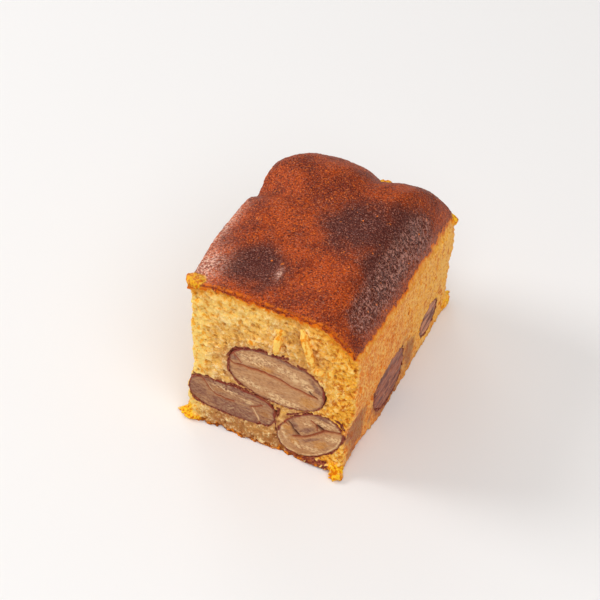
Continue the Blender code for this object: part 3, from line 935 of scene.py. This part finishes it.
class Graph:
    """A material's nodes, made by calls that return sockets."""

    def __init__(self, name):
        self.material = bpy.data.materials.new(name)
        self.material.use_nodes = True
        self.tree = self.material.node_tree
        self.place = self.tree.nodes.new("ShaderNodeTexCoord").outputs["Object"]

    def fill(self, node, inputs):
        """Links or sets each input."""
        for key, value in inputs.items():
            if isinstance(value, bpy.types.NodeSocket):
                self.tree.links.new(value, node.inputs[key])
            else:
                node.inputs[key].default_value = value

    def add(self, kind, inputs, **settings):
        node = self.tree.nodes.new(kind)
        for key, value in settings.items():
            setattr(node, key, value)
        self.fill(node, inputs)
        return node.outputs

    def surface(self, inputs):
        self.fill(self.tree.nodes["Principled BSDF"], inputs)

    def mask(self, name, share=None):
        """A float attribute of the mesh, or a share of it."""
        value = self.add("ShaderNodeAttribute", {}, attribute_name=name)["Fac"]
        return value if share is None else self.times(value, share)

    def noise(self, size, detail=2.0, stretch=(1.0, 1.0, 1.0), rough=0.5, distortion=0.0):
        """Noise from 0 to 1 with lumps of a size in mm."""
        scale = [1.0 / (size * MM * s) for s in stretch]
        place = self.add("ShaderNodeMapping", {"Vector": self.place, "Scale": scale})["Vector"]
        inputs = {"Vector": place, "Scale": 1.0, "Detail": detail, "Roughness": rough,
                  "Distortion": distortion}
        return self.add("ShaderNodeTexNoise", inputs)["Fac"]

    def maths(self, operation, a, b, clamp=False):
        return self.add("ShaderNodeMath", {0: a, 1: b}, operation=operation, use_clamp=clamp)[0]

    def times(self, a, b):
        return self.maths("MULTIPLY", a, b)

    def ramp(self, value, start, end, low=0.0, high=1.0):
        """From low at start to high at end, with eased ends."""
        if end < start:
            start, end, low, high = end, start, high, low
        inputs = {"Value": value, "From Min": start, "From Max": end, "To Min": low, "To Max": high}
        return self.add("ShaderNodeMapRange", inputs, interpolation_type="SMOOTHSTEP")["Result"]

    def mix(self, share, a, b):
        """Goes from a to b, which are sockets or display colours."""
        a, b = (linear(c) if isinstance(c, tuple) else c for c in (a, b))
        return self.add("ShaderNodeMix", {"Factor": share, 6: a, 7: b}, data_type="RGBA")[2]

    def layered(self, colour, *layers):
        """Lays colours over a first one, each with its share."""
        for share, over in layers:
            colour = self.mix(share, colour, over)
        return colour

    def bump(self, height, distance, normal=None):
        inputs = {"Distance": distance * MM, "Height": height}
        if normal is not None:
            inputs["Normal"] = normal
        return self.add("ShaderNodeBump", inputs)["Normal"]


# Colours as the display shows them, 0 to 255
CRUST_RED = (134, 44, 12)
CRUST_ORANGE = (184, 70, 10)
CRUST_DARK = (62, 18, 8)
CRUST_SPECK = (230, 118, 36)
# The next four colours are painted glints, gloss and shine that stand in for light reflected off the
# crust
CRUST_PAINTED_GLINT = (204, 130, 100)
CRUST_PAINTED_GLOSS = (206, 146, 128)
CRUST_PAINTED_SHINE = (238, 190, 168)
CRUST_PAINTED_DULL_GLINT = (172, 100, 78)
CRUST_BURNT = (78, 28, 20)
CRUST_BAND = (92, 44, 36)
# The crust's right edge, partly its own colour and partly painted sheen
CRUST_HEM_SHEEN = (166, 84, 58)
CRUST_LINE = (224, 112, 8)
CRUMB = (246, 188, 92)
CRUMB_BROWN = (208, 150, 80)
CRUMB_LOW = (172, 112, 66)
# Lighter crumb, partly painted highlights on bumps, and darker crumb, partly painted shade in hollows
CRUMB_LIGHT = (255, 224, 164)
CRUMB_DARK_AND_SHADE = (164, 92, 28)
CRUMB_WARM = (254, 180, 46)
CRUMB_WARM_LIGHT = (255, 218, 134)
CRUMB_WARM_DEEP = (206, 110, 2)
# Painted light on the left and upper left of the cut face, and its darker grains
CRUMB_PAINTED_LIGHT = (255, 216, 120)
CRUMB_PAINTED_LIGHT_DEEP = (250, 172, 44)
CRUMB_UNDER_CRUST = (236, 156, 36)
CRUMB_BESIDE = (200, 144, 94)
PEEL = (160, 88, 62)
PEEL_DARK = (114, 46, 34)
BAKED = (242, 142, 50)
BAKED_FAR = (255, 186, 74)
BAKED_LIGHT = (255, 202, 112)
BAKED_DARK = (214, 98, 4)
STAIN = (150, 92, 74)
BASE_CRUST = (142, 70, 18)
BASE_GRAIN = (222, 128, 28)
TORN = (236, 148, 30)
TORN_LIGHT = (255, 208, 104)
RUSTY = (224, 124, 6)
RUSTY_LIGHT = (255, 198, 40)
FLESH = (188, 132, 84)
# Paler flesh for the cream lines, also used for painted highlights
FLESH_PALE_AND_HIGHLIGHT = (232, 192, 140)
FLESH_GOLD = (198, 132, 58)
FLESH_DUSK = (122, 66, 52)
NUT_RIM = (132, 48, 30)
NUT_SKIN = (172, 92, 58)
NUT_SKIN_DARK = (96, 28, 18)
NUT_SKIN_SPECK = (220, 160, 104)
NUT_SKIN_FAR = (214, 144, 108)
NUT_FOLD = (152, 58, 22)
NUT_HOLE = (84, 26, 14)
# How strongly the surfaces reflect
CRUST_SPECULAR = 0.17
CRUMB_SPECULAR = 0.08
NUT_SPECULAR = 0.22


def crust_colour(g, grain):
    """Red-brown grains and burnt patches, with painted glints and painted shine where it looks glossy.
    """
    band = g.times(g.ramp(g.mask("band"), 0.2, 0.8), 0.8)
    dull = g.maths("MAXIMUM", g.mask("burnt"), band)
    fine = g.noise(0.42, 3, rough=0.65)
    worms = g.ramp(g.noise(0.9, 3, rough=0.6, distortion=1.2), 0.5, 0.62)
    glints = g.ramp(g.noise(0.6, 3, rough=0.7), 0.45, 0.6, 0.1, 1.0)
    return g.layered(
        CRUST_RED,
        (g.ramp(g.noise(9.0, 3), 0.38, 0.62), CRUST_ORANGE),
        (g.mask("far", 0.22), CRUST_BURNT),
        (g.mask("burnt", 0.95), CRUST_BURNT),
        (band, g.mix(g.ramp(g.noise(0.9, 2), 0.44, 0.54), CRUST_DARK, CRUST_BAND)),
        # Painted sheen along the crust's right edge
        (g.mask("hem_sheen", 0.7), CRUST_HEM_SHEEN),
        (g.times(g.ramp(grain, 0.52, 0.36), 0.9), CRUST_DARK),
        # Grain tops: orange specks, and painted glints on the burnt patches and the band
        (g.times(g.ramp(grain, 0.55, 0.7), 0.8), g.mix(dull, CRUST_SPECK, CRUST_PAINTED_DULL_GLINT)),
        (g.ramp(g.noise(1.3, 1), 0.72, 0.78), CRUST_SPECK),
        # Painted glints on the fine grains
        (g.times(g.ramp(fine, 0.54, 0.68), 0.55), g.mix(dull, CRUST_PAINTED_GLINT, CRUST_PAINTED_GLOSS)),
        # Painted highlights on the band's wrinkles
        (g.times(worms, g.times(band, 0.9)), CRUST_PAINTED_GLOSS),
        # Painted glints within the painted sheen patches
        (g.times(glints, g.mask("painted_sheen")), CRUST_PAINTED_SHINE),
    )


def crumb_colour(g, grain):
    """Torn crumb: pale grains, painted shade in hollows, painted highlights on bumps, and the baked
    skin.
    """
    # Depth plus grain noise, which carries painted shade and painted highlights
    sunk = g.maths("ADD", g.mask("sunk"), g.times(g.maths("SUBTRACT", 0.5, grain), 1.8))
    lump = g.noise(1.4, 4, rough=0.6)
    beside = g.maths("ADD", g.mask("beside"), g.times(g.noise(1.6, 3), 2.0))
    warm = g.mix(g.ramp(lump, 0.4, 0.51), CRUMB_WARM_DEEP, CRUMB_WARM)
    # Painted light on the left and upper left
    pale = g.mix(g.ramp(lump, 0.41, 0.5), CRUMB_PAINTED_LIGHT_DEEP, CRUMB_PAINTED_LIGHT)
    lit = g.maths("MAXIMUM", g.mask("warm"), g.mask("pale"))
    light = g.mix(lit, CRUMB_LIGHT, CRUMB_WARM_LIGHT)
    return g.layered(
        CRUMB,
        (g.ramp(g.noise(5.5, 3, rough=0.6), 0.56, 0.42, 0.0, 0.75), CRUMB_BROWN),
        (g.ramp(lump, 0.47, 0.35, 0.0, 0.65), CRUMB_DARK_AND_SHADE),
        (g.ramp(beside, 4.2, 1.0, 0.0, 0.7), CRUMB_BESIDE),
        (g.mask("low", 0.8), CRUMB_LOW),
        (g.mask("warm", 0.8), warm),
        # Painted light on the left and upper left
        (g.mask("pale", 0.9), pale),
        (g.ramp(lump, 0.53, 0.66, 0.0, 0.65), light),
        # Painted highlights on raised crumb and painted shade in its hollows
        (g.ramp(sunk, -0.15, -0.7, 0.0, 0.8), light),
        (g.ramp(sunk, 0.1, 0.9, 0.0, 0.6), CRUMB_DARK_AND_SHADE),
        (g.mask("baked"), baked_colour(g, sunk)),
    )


def baked_colour(g, sunk):
    """Grainy skin, paler towards the back, stained over chestnuts, with painted shade in its hollows.
    """
    grainy = g.noise(0.8, 4, (1.0, 1.0, 1.2), rough=0.7)
    streak = g.noise(1.8, 5, (1.0, 1.0, 2.4), rough=0.7)
    crease = g.ramp(g.noise(2.4, 4, (1.0, 1.0, 3.2)), 0.56, 0.66)
    return g.layered(
        BAKED,
        (g.mask("far"), BAKED_FAR),
        (g.ramp(streak, 0.48, 0.64, 0.0, 0.7), BAKED_LIGHT),
        (g.ramp(g.noise(4.0, 3, (1.0, 1.0, 2.0)), 0.56, 0.68, 0.0, 0.5), BAKED_DARK),
        (g.times(g.times(crease, g.mask("far")), 0.7), BAKED_DARK),
        (g.ramp(grainy, 0.51, 0.6, 0.0, 0.9), BAKED_LIGHT),
        (g.ramp(grainy, 0.48, 0.38, 0.0, 0.65), BAKED_DARK),
        # Painted shade in the skin's hollows
        (g.ramp(sunk, 0.25, 0.85), BAKED_DARK),
        (g.mask("stain", 0.7), STAIN),
    )


def edge_colours(g, colour, grain):
    """The crust, the browned line under it, torn bits, peel and the foot."""
    edge = g.maths("SUBTRACT", g.mask("below"), g.ramp(g.noise(1.9, 4), 0.32, 0.68, 0.0, 1.5))
    patchy = g.ramp(g.noise(1.1, 3), 0.62, 0.42, 0.35, 0.95)
    brink = g.ramp(g.noise(1.2, 3), 0.38, 0.6)
    touch = g.maths("ADD", g.mask("beside"), g.times(g.noise(2.6, 5, rough=0.65), 2.4))
    peel = g.mix(g.ramp(g.noise(0.7, 3), 0.42, 0.6), PEEL_DARK, PEEL)
    torn = g.noise(1.1, 4, (1.0, 1.0, 1.6), rough=0.6)
    height = g.maths("ADD", g.mask("height"), g.times(g.ramp(g.noise(1.5, 3), 0.3, 0.7), 1.2))
    foot = g.times(g.ramp(height, 2.4, 1.3), g.ramp(g.mask("baked"), 0.0, 1.0, 1.0, 0.3))
    return g.layered(
        colour,
        (g.times(g.ramp(edge, 3.8, 0.8), patchy), CRUMB_UNDER_CRUST),
        (g.ramp(edge, 1.6, 0.5), CRUST_LINE),
        (g.ramp(edge, 0.3, -0.15), crust_colour(g, grain)),
        (g.times(g.mask("brink"), brink), CRUST_LINE),
        (g.ramp(touch, 1.6, 1.2), peel),
        (g.ramp(g.mask("peel"), 0.25, 0.6), peel),
        (g.mask("torn"), g.mix(g.ramp(torn, 0.42, 0.56), TORN, TORN_LIGHT)),
        (foot, g.mix(g.ramp(g.noise(0.9, 3), 0.45, 0.6), BASE_CRUST, BASE_GRAIN)),
        (g.mask("rusty"), g.mix(g.ramp(g.noise(0.8, 3), 0.4, 0.58), RUSTY, RUSTY_LIGHT)),
    )


def cake_material(name, specular):
    g = Graph(name)
    grain = g.noise(0.45, 3, rough=0.6)
    fine = g.bump(g.noise(0.36, 2), 0.18)
    g.surface({
        "Base Color": edge_colours(g, crumb_colour(g, grain), grain),
        "Roughness": g.ramp(g.mask("band"), 0.2, 0.9, 0.5, 0.34),
        "Normal": g.bump(g.noise(0.8, 3), 0.32, fine),
        "Specular IOR Level": specular,
        "Subsurface Weight": 0.12,
        "Subsurface Radius": (1.0, 0.45, 0.15),
        "Subsurface Scale": 1.2 * MM,
    })
    return g.material


def flesh_colour(g, streak):
    """A chestnut's cut face: fibres, patches, painted highlights, folds and a dark rim."""
    fibre = g.noise(0.6, 4, (1.5, 1.0, 1.0), rough=0.7)
    dusk = g.maths("MAXIMUM", g.mask("dusk", 0.85), g.mask("dull"))
    # Painted highlights: the light patches and brighter streaks, partly paler flesh
    light = g.maths("ADD", g.mask("light"), g.ramp(streak, 0.5, 0.7, 0.2, 0.5), clamp=True)
    rim = g.maths("ADD", g.mask("rim"), g.times(g.noise(2.0, 3), -1.5))
    edge = g.maths("ADD", g.mask("rim"), g.times(g.noise(2.2, 4, rough=0.65), -2.2))
    torn = g.ramp(g.noise(1.2, 3), 0.4, 0.52, 0.2, 1.0)
    return g.layered(
        FLESH,
        (g.mask("gold"), FLESH_GOLD),
        (g.ramp(streak, 0.48, 0.34, 0.0, 0.35), FLESH_DUSK),
        (dusk, FLESH_DUSK),
        # Painted highlights, partly on paler flesh
        (g.times(light, g.ramp(fibre, 0.42, 0.58, 0.0, 1.0)), FLESH_PALE_AND_HIGHLIGHT),
        (g.ramp(fibre, 0.44, 0.32, 0.0, 0.35), FLESH_DUSK),
        (g.ramp(rim, 0.3, -0.5, 0.0, 0.6), FLESH_DUSK),
        (g.ramp(edge, -0.5, -0.95), NUT_RIM),
        (g.mask("fold", 0.9), NUT_FOLD),
        (g.times(g.mask("pale"), torn), FLESH_PALE_AND_HIGHLIGHT),
        (g.mask("dark"), NUT_HOLE),
    )


def skin_colour(g):
    """Wrinkled skin where a chestnut lay against the tin."""
    wrinkle = g.noise(1.9, 3, (3.0, 3.0, 0.7), distortion=0.6)
    return g.layered(
        NUT_SKIN,
        (g.mask("far", 0.7), NUT_SKIN_FAR),
        (g.ramp(wrinkle, 0.4, 0.6, 0.0, 0.9), NUT_SKIN_DARK),
        (g.ramp(g.noise(0.9, 2), 0.66, 0.74), NUT_SKIN_SPECK),
    )


def nut_material():
    g = Graph("chestnut_look")
    streak = g.noise(1.5, 4, (3.0, 1.0, 1.0), rough=0.6)
    g.surface({
        "Base Color": g.mix(g.mask("cut"), skin_colour(g), flesh_colour(g, streak)),
        "Roughness": g.ramp(streak, 0.4, 0.7, 0.44, 0.3),
        "Normal": g.bump(g.noise(0.5, 3, (1.5, 1.0, 1.0)), 0.18),
        "Specular IOR Level": NUT_SPECULAR,
        "Subsurface Weight": 0.08,
        "Subsurface Radius": (1.0, 0.5, 0.3),
        "Subsurface Scale": 1.0 * MM,
    })
    return g.material


def make_floor():
    """The pale table, which is stage."""
    bpy.ops.mesh.primitive_plane_add(size=FLOOR_SIZE)
    floor = bpy.context.object
    floor.name = "floor"
    g = Graph("floor_look")
    g.surface({"Base Color": FLOOR_COLOUR, "Roughness": FLOOR_ROUGHNESS})
    floor.data.materials.append(g.material)


def direction(azimuth, elevation):
    """From the slice outwards. Azimuth 0 is in front and 90 on the right."""
    a, e = math.radians(azimuth), math.radians(elevation)
    return Vector((math.sin(a) * math.cos(e), -math.cos(a) * math.cos(e), math.sin(e)))


def place(name, data, location, turn):
    """Puts a light or the camera in the scene."""
    item = bpy.data.objects.new(name, data)
    item.location = location
    item.rotation_mode = "QUATERNION"
    item.rotation_quaternion = turn
    bpy.context.scene.collection.objects.link(item)
    return item


def make_lights():
    """Soft discs that face the slice, placed like the camera, and light from all around."""
    for name, (azimuth, elevation, size, power) in LIGHTS.items():
        data = bpy.data.lights.new(name, "AREA")
        data.shape = "DISK"
        data.size = size
        data.energy = power
        back = direction(azimuth, elevation)
        location = Vector(LIGHT_TARGET) + back * LIGHT_DISTANCE
        place(name, data, location, back.to_track_quat("Z", "Y"))
    world = bpy.data.worlds.new("room")
    world.use_nodes = True
    background = world.node_tree.nodes["Background"]
    background.inputs["Color"].default_value = ROOM_LIGHT
    background.inputs["Strength"].default_value = ROOM_LIGHT_STRENGTH
    bpy.context.scene.world = world


def make_camera():
    data = bpy.data.cameras.new("camera")
    data.lens = LENS
    data.sensor_width = SENSOR
    data.clip_start = 0.05
    data.clip_end = 20.0
    back = direction(CAMERA_AZIMUTH, CAMERA_ELEVATION)
    turn = (-back).to_track_quat("-Z", "Y")
    turn = turn @ Quaternion((0.0, 0.0, 1.0), math.radians(CAMERA_ROLL))
    location = (Vector(CAMERA_TARGET) + back * CAMERA_DISTANCE) * MM
    bpy.context.scene.camera = place("camera", data, location, turn)


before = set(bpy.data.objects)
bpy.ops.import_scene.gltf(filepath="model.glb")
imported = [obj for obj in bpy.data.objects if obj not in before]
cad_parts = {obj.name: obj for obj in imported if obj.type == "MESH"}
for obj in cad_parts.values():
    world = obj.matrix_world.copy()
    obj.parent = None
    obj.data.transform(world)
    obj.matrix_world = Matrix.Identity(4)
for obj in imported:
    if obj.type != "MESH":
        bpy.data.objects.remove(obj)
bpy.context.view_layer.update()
make_camera()
make_lights()
make_floor()
crust_look = cake_material("crust_look", CRUST_SPECULAR)
crumb_look = cake_material("crumb_look", CRUMB_SPECULAR)
for piece in make_cake():
    piece.data.materials.append(crust_look if piece.name == "cake_roof" else crumb_look)
    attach(piece, "root")
    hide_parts("cake")
nut_look = nut_material()
for name in CHESTNUTS:
    piece = make_nut(name)
    piece.data.materials.append(nut_look)
    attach(piece, "root")
    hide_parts(name)
bpy.context.scene.view_settings.view_transform = "Standard"
